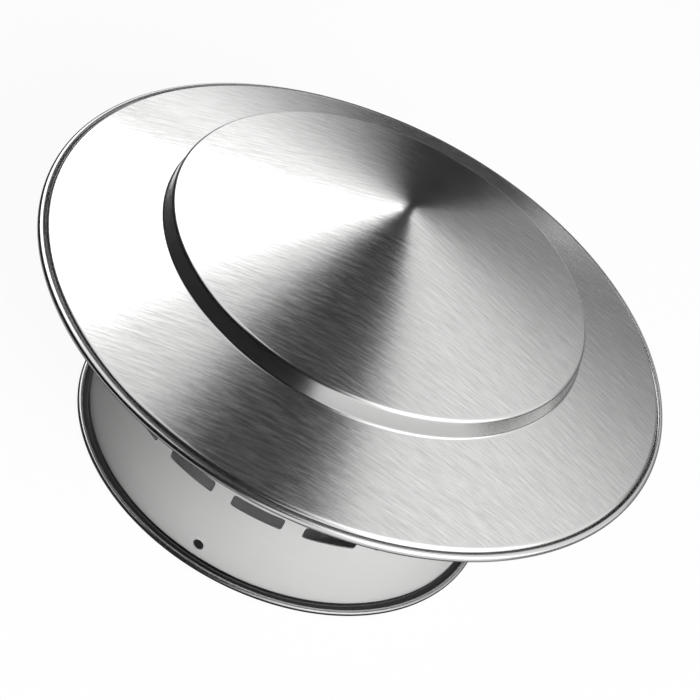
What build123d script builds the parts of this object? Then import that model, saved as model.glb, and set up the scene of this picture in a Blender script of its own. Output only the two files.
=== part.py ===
from build123d import *
import os
from math import cos, degrees, pi, radians, sin, tan

# Chimney cap for a round flue: a stepped conical hood on a slotted drum, both of thin stainless sheet.
# Millimetres, +Z up, origin on the drum's axis at the level the foot stands on. The front is -Y.
# Each sheet is drawn as the line through the middle of its thickness, then thickened and spun.

# Sheet and flue
sheet = 0.6
flue_diameter = 160.0
flue_clearance = 0.5

# Drum: wall, foot flange and its rolled edge
drum_height = 104.6
foot_overhang = 4.6
foot_bend_inside = 0.5
foot_curl_inside = 0.5
foot_curl_turn = 270.0

# Slots, punched in rows before the strip is rolled, which leaves a wider land at the seam
slot_length = 20.8
slot_height = 5.5
slot_corner = 1.2
slot_pitch = 28.8
slot_row_pitch = 12.0
first_row_height = 35.9
last_row_land = 8.0
slot_turn = 2.25

# Screw holes that fix the drum to the flue
screw_hole_diameter = 4.5
screw_hole_count = 3
screw_hole_height = 7.9
screw_hole_turn = -7.6

# Hood: cone, step, brim and rolled lip
hood_diameter = 252.2
cone_slope = 17.4
tip_inside_radius = 6.4
seat_gap = 0.05
seat_land = 0.1
step_height = 7.6
step_draft = 8.5
step_edge_inside = 1.4
step_foot_inside = 1.3
brim_slope = 19.5
brim_bend_inside = 2.0
skirt_drop = 0.15
lip_curl_inside = 0.55
lip_curl_turn = 285.0

half_sheet = sheet / 2
drum_inside = flue_diameter / 2 + flue_clearance
drum_outside = drum_inside + sheet

# Middle line of the drum's sheet
wall_radius = drum_inside + half_sheet
foot_curl_radius = foot_curl_inside + half_sheet
flange_height = half_sheet
foot_curl_centre = drum_outside + foot_overhang - foot_curl_inside - sheet

# Middle line of the hood's sheet, whose cone rests on the outer corner of the drum's top edge
cone_angle = radians(cone_slope)
seat_height = drum_height + seat_gap + half_sheet / cos(cone_angle)
cone_point = seat_height + drum_outside * tan(cone_angle)
tip_radius = tip_inside_radius + half_sheet
tip_height = cone_point - tip_radius * (1 / cos(cone_angle) - 1)
step_edge_radius = step_edge_inside + half_sheet
step_edge_reach = step_edge_radius * tan(radians(90 - step_draft - cone_slope) / 2)
seat_reach = drum_outside + seat_land + half_sheet * sin(cone_angle)
step_top_radius = seat_reach + step_edge_reach * cos(cone_angle)
step_top = cone_point - step_top_radius * tan(cone_angle)
step_foot_radius = step_top_radius + step_height * tan(radians(step_draft))
step_foot = step_top - step_height
lip_curl_radius = lip_curl_inside + half_sheet
skirt_radius = hood_diameter / 2 - half_sheet - 2 * lip_curl_radius
brim_edge = step_foot - (skirt_radius - step_foot_radius) * tan(radians(brim_slope))
brim_bend_radius = brim_bend_inside + half_sheet
lip_height = brim_edge - brim_bend_radius * tan(radians(90 - brim_slope) / 2) - skirt_drop

# Slot pattern: as many as the strip holds, in rows that stop short of the step
slot_angle = degrees(slot_pitch / drum_outside)
slots_in_row = int(2 * pi * drum_outside // slot_pitch)
slot_rows = 1 + int((step_foot - last_row_land - slot_height / 2 - first_row_height) // slot_row_pitch)
first_slot_turn = slot_turn - slot_angle * (slots_in_row - 1) / 2
slot_cut_start = (drum_inside**2 - (slot_length / 2) ** 2) ** 0.5 - sheet

# Drum: wall, foot bend, flange and an edge rolled up into a bead
with BuildPart() as drum:
    with BuildSketch(Plane.XZ):
        with BuildLine():
            wall = FilletPolyline(
                (wall_radius, drum_height),
                (wall_radius, flange_height),
                (foot_curl_centre, flange_height),
                radius=foot_bend_inside + half_sheet,
            )
            JernArc(wall @ 1, wall % 1, foot_curl_radius, foot_curl_turn)
        trace(line_width=sheet)
    revolve(axis=Axis.Z)

    # One upright column of slots, repeated round the wall from seam to seam
    with BuildSketch(Plane.XZ.offset(slot_cut_start)):
        for row in range(slot_rows):
            with Locations((0, first_row_height + row * slot_row_pitch)):
                RectangleRounded(slot_length, slot_height, slot_corner)
    slot_column = extrude(amount=drum_outside - slot_cut_start + sheet, mode=Mode.PRIVATE)
    with PolarLocations(0, slots_in_row, first_slot_turn, slots_in_row * slot_angle):
        add(slot_column, mode=Mode.SUBTRACT)

    # Screw holes near the foot
    with BuildSketch(Plane.XZ.offset(drum_inside - sheet)):
        with Locations((0, screw_hole_height)):
            Circle(screw_hole_diameter / 2)
    screw_hole = extrude(amount=3 * sheet, mode=Mode.PRIVATE)
    with PolarLocations(0, screw_hole_count, screw_hole_turn):
        add(screw_hole, mode=Mode.SUBTRACT)

# Hood: round tip, cone, step, brim, turned-down bend and rolled lip
with BuildPart() as hood:
    with BuildSketch(Plane.XZ):
        with BuildLine():
            tip = JernArc((0, tip_height), (1, 0), tip_radius, -cone_slope)
            skin = FilletPolyline(
                tip @ 1,
                (step_top_radius, step_top),
                (step_foot_radius, step_foot),
                (skirt_radius, brim_edge),
                (skirt_radius, lip_height),
                radius=[step_edge_radius, step_foot_inside + half_sheet, brim_bend_radius],
            )
            JernArc(skin @ 1, skin % 1, lip_curl_radius, lip_curl_turn)
        trace(line_width=sheet)
    revolve(axis=Axis.Z)

drum.part.label = "drum"
hood.part.label = "hood"

os.makedirs("parts", exist_ok=True)
export_step(drum.part, "parts/drum.step")
export_step(hood.part, "parts/hood.step")
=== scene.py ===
from math import copysign, cos, degrees, pi, radians, sin, tan

import bpy
from mathutils import Matrix, Vector


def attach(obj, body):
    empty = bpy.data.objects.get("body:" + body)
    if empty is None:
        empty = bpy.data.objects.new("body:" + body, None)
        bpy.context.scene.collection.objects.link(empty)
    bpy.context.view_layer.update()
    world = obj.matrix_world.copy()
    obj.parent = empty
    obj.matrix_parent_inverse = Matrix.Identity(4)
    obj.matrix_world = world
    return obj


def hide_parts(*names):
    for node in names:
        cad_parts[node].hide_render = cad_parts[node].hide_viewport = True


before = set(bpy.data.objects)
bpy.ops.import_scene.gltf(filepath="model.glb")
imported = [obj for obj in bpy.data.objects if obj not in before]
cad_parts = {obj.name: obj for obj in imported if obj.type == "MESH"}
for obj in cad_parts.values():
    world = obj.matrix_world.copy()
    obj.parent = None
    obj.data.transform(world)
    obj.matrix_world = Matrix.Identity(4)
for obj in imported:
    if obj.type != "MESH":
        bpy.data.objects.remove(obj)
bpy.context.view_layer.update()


# Hood: one disc of thin stainless sheet, hairline brushed while flat and then pressed into the cone,
# the step and the brim, with its edge turned down and rolled outwards. It is spot welded to the drum.
class Finish:
    """One socket of a finish's nodes. Sums and products of these add the maths nodes that they need."""

    def __init__(self, tree, socket=None):
        self.tree = tree
        self.socket = socket

    def add(self, kind, settings=None, inputs=None, output=0):
        node = self.tree.nodes.new("ShaderNode" + kind)
        for name, value in (settings or {}).items():
            setattr(node, name, value)
        for name, value in (inputs or {}).items():
            if isinstance(value, Finish):
                self.tree.links.new(value.socket, node.inputs[name])
            else:
                node.inputs[name].default_value = value
        return Finish(self.tree, node.outputs[output] if node.outputs else None)

    def maths(self, operation, first, second):
        return self.add("Math", {"operation": operation}, {0: first, 1: second})

    def __add__(self, other):
        return self.maths("ADD", self, other)

    def __radd__(self, other):
        return self.maths("ADD", other, self)

    def __sub__(self, other):
        return self.maths("SUBTRACT", self, other)

    def __rsub__(self, other):
        return self.maths("SUBTRACT", other, self)

    def __mul__(self, other):
        return self.maths("MULTIPLY", self, other)

    def __rmul__(self, other):
        return self.maths("MULTIPLY", other, self)


def new_finish(name):
    material = bpy.data.materials.new(name)
    material.use_nodes = True
    material.node_tree.nodes.clear()
    return material, Finish(material.node_tree)


def stretch(place, scale):
    """A place with each of its measures multiplied."""
    return place.add("VectorMath", {"operation": "MULTIPLY"}, {0: place, 1: scale})


def from_axis(place):
    """How far a place lies from the cap's axis."""
    return place.add("VectorMath", {"operation": "LENGTH"}, {0: stretch(place, (1, 1, 0))}, "Value")


def beyond(measure, span, kind="LINEAR"):
    """A mask that rises from 0 to 1 while the measure crosses a span."""
    start, end = span
    return measure.add("MapRange", {"interpolation_type": kind}, {0: measure, 1: start, 2: end})


def until(measure, span):
    """A mask that falls from 1 to 0 while the measure crosses a span."""
    return 1.0 - beyond(measure, span)


def blend(share, first, last):
    """A colour between two, the last one where the share is 1."""
    colour_output = 2
    return share.add("Mix", {"data_type": "RGBA"}, {0: share, 6: first, 7: last}, colour_output)


def brush_marks(place, scale, detail, roughness):
    """Noise that is drawn out into marks by a different scale each way."""
    drawn_out = stretch(place, scale)
    marks = {"Vector": drawn_out, "Scale": 1.0, "Detail": detail, "Roughness": roughness}
    return place.add("TexNoise", inputs=marks)


long_marks = (75.0, 850.0, 0.0)
fine_marks = (170.0, 2100.0, 0.0)
streak_share = 0.55
hair_share = 0.45
grain_contrast = 1.5
grain_depth = 0.0002
dull_steel = (0.44, 0.44, 0.436, 1)
bright_steel = (0.90, 0.90, 0.895, 1)
mill_grey_and_painted_shade = (0.30, 0.30, 0.297, 1)
cone_end = (0.0805, 0.0815)
brim_start = (0.0843, 0.0853)
rim_start = (0.1212, 0.1226)
facing_down = (-0.6, -0.5)

hood_steel, steel = new_finish("hood_brushed_steel")
place = steel.add("TexCoord", output="Object")
reach = from_axis(place)
streaks = brush_marks(place, long_marks, detail=2.0, roughness=0.6)
hairs = brush_marks(place, fine_marks, detail=2.0, roughness=0.7)
short_of_rim = until(reach, rim_start)
open_face = until(reach, cone_end) + beyond(reach, brim_start) * short_of_rim
marks = streaks * streak_share + hairs * hair_share - 0.5
grain = 0.5 + marks * grain_contrast * open_face
facing = steel.add("TexCoord", output="Normal")
upward = steel.add("SeparateXYZ", inputs={0: facing}, output="Z")
# Painted shade: faces that look down, short of the rim, are painted a darker grey for the dim space under
# the brim; they are also rougher, as the sheet's unbrushed side.
below = until(upward, facing_down) * short_of_rim
tint = blend(below, blend(grain, dull_steel, bright_steel), mill_grey_and_painted_shade)
rough = 0.17 + grain * 0.1 + below * 0.15
brushed = steel.add("Bump", inputs={"Strength": 0.25, "Distance": grain_depth, "Height": grain})
metal = steel.add(
    "BsdfPrincipled",
    inputs={"Base Color": tint, "Metallic": 1.0, "Roughness": rough, "Normal": brushed},
)
steel.add("OutputMaterial", inputs={"Surface": metal})

half_sheet = 0.3


def spun_sheet(name, spot, way, section, turns):
    """A thin sheet spun about the axis from the section through its middle, in millimetres.

    The section leaves its first spot the given way. A number is a straight run, and a group is a bend's
    radius, its turn in degrees and its steps.
    """
    middle = [(spot, way)]
    for piece in section:
        if isinstance(piece, tuple):
            radius, turn, steps = piece
            hub = Vector((-way.y, way.x)) * copysign(radius, turn)
            for step in range(1, steps + 1):
                swing = Matrix.Rotation(radians(turn) * step / steps, 2)
                middle.append((spot + hub - swing @ hub, swing @ way))
        else:
            middle.append((spot + way * piece, way))
        spot, way = middle[-1]
    skin = [(spot, Vector((-way.y, way.x))) for spot, way in middle]
    skin += [(spot, Vector((way.y, -way.x))) for spot, way in reversed(middle)]
    points = []
    normals = []
    rings = []
    for spot, out in skin:
        edge = spot + out * half_sheet
        on_axis = spot.x < 0.001
        ring = []
        for turn in range(1 if on_axis else turns):
            angle = 2 * pi * turn / turns
            spoke = Vector((sin(angle), -cos(angle), 0.0))
            ring.append(len(points))
            points.append((spoke * (0.0 if on_axis else edge.x) + Vector((0, 0, edge.y))) / 1000)
            normals.append(Vector((0, 0, out.y)) if on_axis else spoke * out.x + Vector((0, 0, out.y)))
        rings.append(ring * turns if on_axis else ring)
    closes_on_itself = len(rings[0]) == len(set(rings[0]))
    if closes_on_itself:
        rings.append(rings[0])
    faces = []
    for inner, outer in zip(rings, rings[1:]):
        for turn in range(turns):
            after = (turn + 1) % turns
            corners = [inner[turn], outer[turn], outer[after], inner[after]]
            faces.append(list(dict.fromkeys(corners)))
    mesh = bpy.data.meshes.new(name)
    mesh.from_pydata(points, [], faces)
    mesh.shade_smooth()
    mesh.normals_split_custom_set_from_vertices(normals)
    return mesh


def put(name, data):
    """A new object that shows a mesh, a lamp or a camera."""
    thing = bpy.data.objects.new(name, data)
    bpy.context.collection.objects.link(thing)
    return thing


def setback(radius, turn):
    """How far short of its corner a bend begins."""
    return radius * tan(radians(turn) / 2)


round_steps = 480
drum_outside = 81.1
drum_top = 104.6
seat_gap = 0.05
seat_land = 0.1
hood_diameter = 252.2
cone_slope = 17.4
tip_radius = 14.0
step_height = 7.6
step_draft = 8.5
step_edge_radius = 1.7
step_foot_radius = 1.6
brim_slope = 19.5
brim_bend_radius = 2.3
skirt_run = 0.3165
lip_radius = 1.25
lip_turn = 285.0

fall = radians(cone_slope)
step_edge_turn = 90 - step_draft - cone_slope
step_foot_turn = 90 - step_draft - brim_slope
brim_bend_turn = 90 - brim_slope
edge_setback = setback(step_edge_radius, step_edge_turn)
foot_setback = setback(step_foot_radius, step_foot_turn)
brim_setback = setback(brim_bend_radius, brim_bend_turn)
cone_point = drum_top + seat_gap + half_sheet / cos(fall) + drum_outside * tan(fall)
tip_height = cone_point - tip_radius * (1 / cos(fall) - 1)
step_top_reach = drum_outside + seat_land + half_sheet * sin(fall) + edge_setback * cos(fall)
step_foot_reach = step_top_reach + step_height * tan(radians(step_draft))
skirt_reach = hood_diameter / 2 - half_sheet - 2 * lip_radius
brim_length = (skirt_reach - step_foot_reach) / cos(radians(brim_slope))
hood_section = [
    (tip_radius, -cone_slope, 12),
    step_top_reach / cos(fall) - tip_radius * tan(fall) - edge_setback,
    (step_edge_radius, -step_edge_turn, 12),
    step_height / cos(radians(step_draft)) - edge_setback - foot_setback,
    (step_foot_radius, step_foot_turn, 10),
    brim_length - foot_setback - brim_setback,
    (brim_bend_radius, -brim_bend_turn, 18),
    skirt_run,
    (lip_radius, lip_turn, 44),
]
tip = Vector((0, tip_height))
hood_mesh = spun_sheet("pressed_hood", tip, Vector((1, 0)), hood_section, round_steps)
hood_mesh.materials.append(hood_steel)
hood = put("pressed_hood", hood_mesh)
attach(hood, "root")
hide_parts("hood")

# Drum: a strip of the same sheet, slotted flat, rolled round and seamed at the back, with its foot turned
# out into a flange and the flange's edge rolled up into a bead. It slips over the flue and is screwed on.
satin_marks = (60.0, 60.0, 2500.0)
dull_satin = (0.45, 0.45, 0.446, 1)
bright_satin = (0.51, 0.51, 0.506, 1)
heat_stain = (0.36, 0.34, 0.31, 1)
inside_painted_shade = (0.1, 0.1, 0.1, 1)
groove_painted_shade = (0.012, 0.012, 0.012, 1)
satin_depth = 0.0003
foot_top = (0.0024, 0.0028)
groove_top = (0.0009, 0.0011)
groove_floor = (0.0003, 0.0004)
groove_inner_edge = (0.0809, 0.0810)
groove_outer_edge = (0.0842, 0.0844)
inner_face = (0.0806, 0.0810)
weld_half_width = (0.0003, 0.0011)
slot_turn = 2.25
seam_turn = radians(slot_turn + 180)
seam_out = (sin(seam_turn), -cos(seam_turn), 0.0)
seam_side = (cos(seam_turn), sin(seam_turn), 0.0)

drum_steel, steel = new_finish("drum_satin_steel")
place = steel.add("TexCoord", output="Object")
reach = from_axis(place)
height = steel.add("SeparateXYZ", inputs={0: place}, output="Z")
grain = brush_marks(place, satin_marks, detail=3.0, roughness=0.6)
foot = until(height, foot_top)
# Painted shade: the corner between the wall and the bead is painted near black, rougher and not metal,
# where the real part is bare steel in shade.
between_levels = until(height, groove_top) * beyond(height, groove_floor)
between_walls = beyond(reach, groove_inner_edge) * until(reach, groove_outer_edge)
groove = between_levels * between_walls
# Painted shade: the inside of the drum is painted darker, for the dim hollow inside it.
inside = until(reach, inner_face)
across = steel.add("VectorMath", {"operation": "DOT_PRODUCT"}, {0: place, 1: seam_side}, "Value")
rearward = steel.add("VectorMath", {"operation": "DOT_PRODUCT"}, {0: place, 1: seam_out}, "Value")
weld_line = until(steel.maths("ABSOLUTE", across, 0.0), weld_half_width)
seam = weld_line * steel.maths("GREATER_THAN", rearward, 0.0)
welded = blend(seam * 0.6, blend(grain, dull_satin, bright_satin), heat_stain)
tint = blend(groove, blend(inside * 0.7, welded, inside_painted_shade), groove_painted_shade)
rough = 0.48 + grain * 0.1 - foot * 0.26 + groove * 0.2
relief = grain + seam * 0.8
brushed = steel.add("Bump", inputs={"Strength": 0.06, "Distance": satin_depth, "Height": relief})
shine = (0.25 + foot * 0.75) * (1.0 - groove)
metal = steel.add(
    "BsdfPrincipled",
    inputs={"Base Color": tint, "Metallic": shine, "Roughness": rough, "Normal": brushed},
)
steel.add("OutputMaterial", inputs={"Surface": metal})

wall_radius = drum_outside - half_sheet
bend_radius = 0.8
flange_run = 3.0
curl_height = half_sheet + bend_radius
foot_bend = (bend_radius, 90.0, 8)
bead_curl = (bend_radius, 270.0, 40)
drum_section = [drum_top - curl_height, foot_bend, flange_run, bead_curl]
wall_top = Vector((wall_radius, drum_top))
drum_mesh = spun_sheet("rolled_drum", wall_top, Vector((0, -1)), drum_section, round_steps)

slot_length = 20.8
slot_height = 5.5
slot_corner = 1.2
slot_pitch = 28.8
slot_pitch_turn = degrees(slot_pitch / drum_outside)
slots_in_row = 17
slot_rows = 5
slot_row_pitch = 12
first_row_height = 35.9
hole_radius = 2.25
hole_turn = -7.6
hole_height = 7.9
hole_count = 3
corner_step = 15
punch_start = 77.0
punch_end = 84.0
side = slot_length / 2 - slot_corner
up = slot_height / 2 - slot_corner
slot_outline = []
for u, v, first in [(side, up, 0), (-side, up, 90), (-side, -up, 180), (side, -up, 270)]:
    for angle in range(first, first + 91, corner_step):
        swing = radians(angle)
        slot_outline.append((u + slot_corner * cos(swing), v + slot_corner * sin(swing)))
hole_outline = []
for angle in range(0, 360, corner_step):
    hole_outline.append((hole_radius * cos(radians(angle)), hole_radius * sin(radians(angle))))
punches = [(hole_outline, hole_turn + 360 / hole_count * hole, hole_height) for hole in range(hole_count)]
for slot in range(slots_in_row):
    turn = slot_turn + slot_pitch_turn * (slot - (slots_in_row - 1) / 2)
    for row in range(slot_rows):
        punches.append((slot_outline, turn, first_row_height + slot_row_pitch * row))
points = []
faces = []
for outline, turn, level in punches:
    spoke = Vector((sin(radians(turn)), -cos(radians(turn)), 0))
    sideways = Vector((cos(radians(turn)), sin(radians(turn)), 0))
    count = len(outline)
    start = len(points)
    for depth in (punch_start, punch_end):
        points += [(spoke * depth + sideways * u + Vector((0, 0, level + v))) / 1000 for u, v in outline]
    faces.append([start + k for k in reversed(range(count))])
    faces.append([start + count + k for k in range(count)])
    for k in range(count):
        after = (k + 1) % count
        faces.append([start + k, start + after, start + count + after, start + count + k])
punch_mesh = bpy.data.meshes.new("punches")
punch_mesh.from_pydata(points, [], faces)
punch = put("punches", punch_mesh)
blank = put("blank", drum_mesh)
cut = blank.modifiers.new("slots", "BOOLEAN")
cut.operation = "DIFFERENCE"
cut.solver = "EXACT"
cut.object = punch
bpy.context.view_layer.update()
whole = bpy.context.evaluated_depsgraph_get()
slotted = bpy.data.meshes.new_from_object(blank.evaluated_get(whole))
slotted.name = "rolled_drum"
bpy.data.objects.remove(blank)
bpy.data.objects.remove(punch)

bend_reach = wall_radius + bend_radius
bead_reach = bend_reach + flange_run
clear_of_wall = 82.0
flange_limit = 0.7
same_side = 0.8
slotted.shade_smooth()
smooth = []
for face in slotted.polygons:
    for corner in face.vertices:
        spot = slotted.vertices[corner].co * 1000
        far = spot.xy.length
        spoke = Vector((spot.x, spot.y, 0)) / far
        if spot.z > curl_height and far < clear_of_wall:
            out = Vector((far - wall_radius, 0))
        elif bend_reach < far < bead_reach and spot.z < flange_limit:
            out = Vector((0, spot.z - half_sheet))
        else:
            hub = bend_reach if far < clear_of_wall else bead_reach
            out = Vector((far - hub, spot.z - curl_height))
            out *= out.length - bend_radius
        round_way = (spoke * out.x + Vector((0, 0, out.y))).normalized()
        smooth.append(round_way if round_way.dot(face.normal) > same_side else face.normal.copy())
slotted.normals_split_custom_set(smooth)
slotted.materials.clear()
slotted.materials.append(drum_steel)
drum = put("rolled_drum", slotted)
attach(drum, "root")
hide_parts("drum")

# Floor: a pale sheet of studio paper under the cap. It is white to the camera and keeps the cap's shadow,
# and the steel shows it white far off and, as a painted shadow, dark close to the cap.
paper_grey = (0.86, 0.86, 0.86, 1)
white_light = (1, 1, 1, 1)
near_painted_shadow = (0.03, 0.03, 0.03, 1)
far_tone = (0.92, 0.92, 0.92, 1)
white_share = 0.94
foot_edge = (0.0845, 0.0850)
dark_to_white = (0.09, 0.30)
floor_reach = 30
floor_level = -0.0002

paper, white = new_finish("studio_paper")
camera_ray = white.add("LightPath", output="Is Camera Ray")
glossy_ray = white.add("LightPath", output="Is Glossy Ray")
clear_ray = white.add("LightPath", output="Is Transmission Ray")
spot = white.add("NewGeometry", output="Position")
reach = from_axis(spot)
outside_foot = beyond(reach, foot_edge)
clear_of_cap = beyond(reach, dark_to_white, "SMOOTHSTEP")
matt = white.add("BsdfDiffuse", inputs={"Color": paper_grey})
glow = white.add("Emission", inputs={"Color": white_light, "Strength": 1.0})
shown = (camera_ray + clear_ray) * white_share * outside_foot
lit = white.add("MixShader", inputs={0: shown, 1: matt, 2: glow})
# Painted shadow: the paper that the steel shows is near black close to the cap.
tone = blend(clear_of_cap, near_painted_shadow, far_tone)
mirrored = white.add("Emission", inputs={"Color": tone, "Strength": 1.0})
surface = white.add("MixShader", inputs={0: glossy_ray, 1: lit, 2: mirrored})
white.add("OutputMaterial", inputs={"Surface": surface})
sheet = bpy.data.meshes.new("studio_floor")
floor_corners = [(x * floor_reach, y * floor_reach, 0) for x, y in [(-1, -1), (1, -1), (1, 1), (-1, 1)]]
sheet.from_pydata(floor_corners, [], [(0, 1, 2, 3)])
sheet.materials.append(paper)
floor = put("studio_floor", sheet)
floor.location.z = floor_level


# Cards: flags that stand round the cap out of the camera's sight, so that the steel has something dark,
# something grey and something bright to show. They light nothing else and cast no shadow.
def flag(name, first_shade, last_shade, rows, way="Z"):
    """A sheet of card through rows of points, shaded evenly from its foot to its top, or sideways."""
    made, coat = new_finish(name)
    along = coat.add("SeparateXYZ", inputs={0: coat.add("TexCoord", output="Generated")}, output=way)
    first = (first_shade, first_shade, first_shade, 1)
    last = (last_shade, last_shade, last_shade, 1)
    tone = coat.add("Emission", inputs={"Color": blend(along, first, last), "Strength": 1.0})
    coat.add("OutputMaterial", inputs={"Surface": tone})
    wide = len(rows[0])
    points = [point for row in rows for point in row]
    corners = [i * wide + j for i in range(len(rows) - 1) for j in range(wide - 1)]
    card = bpy.data.meshes.new(name)
    card.from_pydata(points, [], [(k, k + 1, k + wide + 1, k + wide) for k in corners])
    card.materials.append(made)
    stand = put(name, card)
    stand.visible_camera = False
    stand.visible_diffuse = False
    stand.visible_shadow = False


def arc(reach, height, first, last, steps):
    """A row of points round the cap, between two turns in degrees from the front."""
    turns = [radians(first + (last - first) * step / steps) for step in range(steps + 1)]
    return [(reach * sin(turn), -reach * cos(turn), height) for turn in turns]


black = 0.015
overhead_rows = []
for y, z, left, right in [
    (0.45, 0.001, -0.12, 0.1),
    (1.9, 0.001, -0.12, 0.2),
    (2.0, 0.6, -0.14, 0.2),
    (1.6, 1.5, -0.36, 0.25),
    (0.8, 1.9, -0.5, 0.3),
    (-0.1, 1.95, -0.54, 0.3),
    (-1.2, 1.9, -0.54, 0.3),
]:
    overhead_rows.append([(left, y, z), (right, y, z)])
flag("overhead_flag", black, black, overhead_rows)

back_line = [(0.45, 0.001), (2.05, 0.001), (2.05, 1.3)]
back_rows = [[(-0.9, y, z), (-0.1, y, z)] for y, z in back_line]
flag("back_card", first_shade=1.55, last_shade=0.07, rows=back_rows, way="X")

grey_line = [(-0.12, 0.002), (2.2, 0.002), (2.2, 1.7), (1.7, 2.4), (1.0, 2.6), (0.3, 2.7)]
grey_rows = [[(0.21, y, z), (3.2, y, z)] for y, z in grey_line]
flag("grey_card", first_shade=0.18, last_shade=1.05, rows=grey_rows)

bright = 1.9
right_line = [(1.6, 0.3), (1.6, 2.0), (0.9, 2.3)]
right_rows = [arc(far, z, first=32, last=92, steps=10) for far, z in right_line]
flag("right_card", bright, bright, right_rows)

deep_black = 0.01
left_line = [(0.24, 0.002, -160, 0), (2.2, 0.002, -160, 0), (2.3, 1.6, -52, 20), (1.3, 2.2, -52, 20)]
left_rows = [arc(far, z, first, last, steps=12) for far, z, first, last in left_line]
flag("left_flag", deep_black, deep_black, left_rows)


# Lights: a wide soft box at the back left that shows only in the steel, a smaller one at the front right
# that only lights, and an even white room.
def soft_box(name, place, aim, size, power):
    lamp = bpy.data.lights.new(name, "AREA")
    lamp.shape = "SQUARE"
    lamp.size = size
    lamp.energy = power
    box = put(name, lamp)
    box.location = place
    box.rotation_mode = "QUATERNION"
    box.rotation_quaternion = (Vector(place) - Vector(aim)).to_track_quat("Z", "Y")
    return box


left_box = soft_box("left_soft_box", place=(-1.7, 1.4, 1.5), aim=(0, 0, 0.08), size=2.0, power=18)
left_box.visible_diffuse = False
right_box = soft_box("right_soft_box", place=(1.05, -1.35, 1.0), aim=(0, 0, 0.05), size=1.0, power=55)
right_box.visible_glossy = False

room_light = 0.33
room = bpy.data.worlds.new("white_room")
bpy.context.scene.world = room
room.use_nodes = True
room.node_tree.nodes.clear()
air = Finish(room.node_tree)
camera_ray = air.add("LightPath", output="Is Camera Ray")
glossy_ray = air.add("LightPath", output="Is Glossy Ray")
clear_ray = air.add("LightPath", output="Is Transmission Ray")
strength = room_light + (camera_ray + glossy_ray + clear_ray) * (1 - room_light)
walls = air.add("Background", inputs={"Color": white_light, "Strength": strength})
air.add("OutputWorld", inputs={"Surface": walls})

# Camera: a long lens above and in front of the cap, looking down at it and rolled, so that the cap leans
# to the left in the picture.
eye_place = (0.004878, -0.739508, 0.632929)
look_down = 37.81
roll = 28.13
eye = bpy.data.cameras.new("camera")
eye.lens = 125.97
eye.sensor_width = 36.0
camera = put("camera", eye)
tilt = Matrix.Rotation(radians(90 - look_down), 4, "X") @ Matrix.Rotation(radians(roll), 4, "Z")
camera.matrix_world = Matrix.Translation(eye_place) @ tilt
bpy.context.scene.camera = camera
bpy.context.scene.view_settings.view_transform = "Standard"
